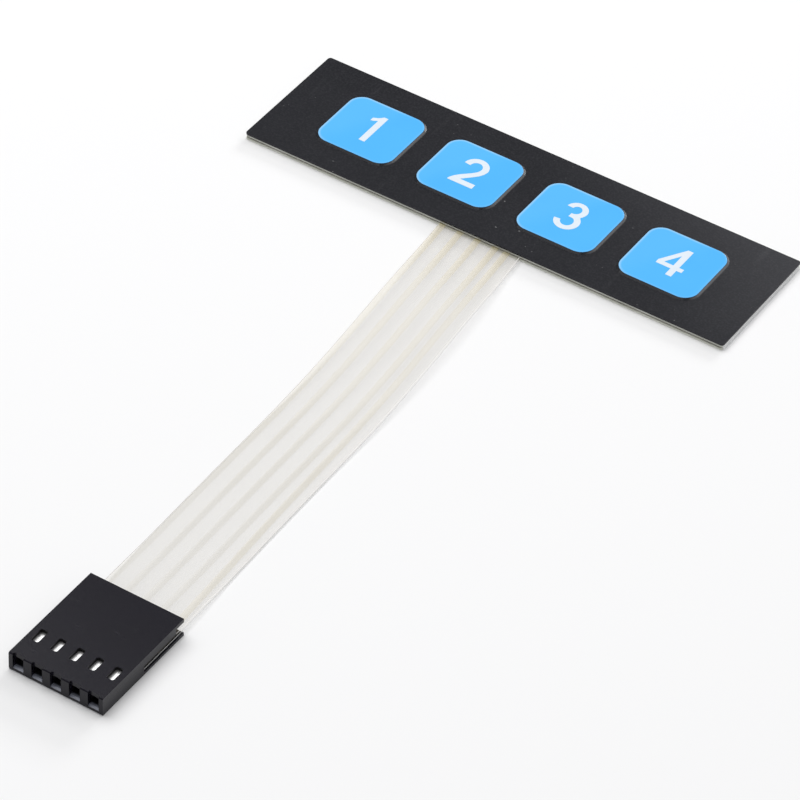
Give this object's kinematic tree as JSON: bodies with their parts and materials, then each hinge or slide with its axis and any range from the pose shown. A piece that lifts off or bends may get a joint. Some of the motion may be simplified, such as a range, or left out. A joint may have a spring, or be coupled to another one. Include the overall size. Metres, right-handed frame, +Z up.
{
  "type": "membrane keypad",
  "caption": "Flat adhesive-backed membrane keypad with a row of numbered, embossed keys, and a flat tail that ends in a socket connector.",
  "frame": {"origin": "middle of the release liner's underside, on the surface below", "axes": "+X along the row of keys from 1 to 4, +Y across the pad away from the tail, +Z up out of the keys"},
  "size_m": [0.069, 0.111, 0.0025],
  "materials": {
    "graphic_overlay": "satin polyester film, printed black with blue keys",
    "overlay_adhesive": "clear adhesive",
    "dome_spacer": "milky polyester film",
    "circuit_film": "clear to milky polyester film",
    "tail_cover": "clear polyester film",
    "rear_adhesive": "clear adhesive",
    "release_liner": "coated liner paper",
    "connector_housing": "satin moulded plastic",
    "dome_steel": "bright stainless",
    "silver_ink": "printed silver ink, matt beige",
    "contact_tin": "bright tin plate"
  },
  "bodies": {
    "root": {"graphic_overlay": "graphic_overlay", "overlay_adhesive": "overlay_adhesive", "dome_spacer": "dome_spacer", "circuit_film": "circuit_film", "tail_cover": "tail_cover", "rear_adhesive": "rear_adhesive", "release_liner": "release_liner", "connector_housing": "connector_housing", "dome_1": "dome_steel", "dome_2": "dome_steel", "dome_3": "dome_steel", "dome_4": "dome_steel", "track_key_1": "silver_ink", "track_key_2": "silver_ink", "track_key_3": "silver_ink", "track_key_4": "silver_ink", "track_common": "silver_ink", "contact_1": "contact_tin", "contact_2": "contact_tin", "contact_3": "contact_tin", "contact_4": "contact_tin", "contact_5": "contact_tin"}
  },
  "joints": []
}
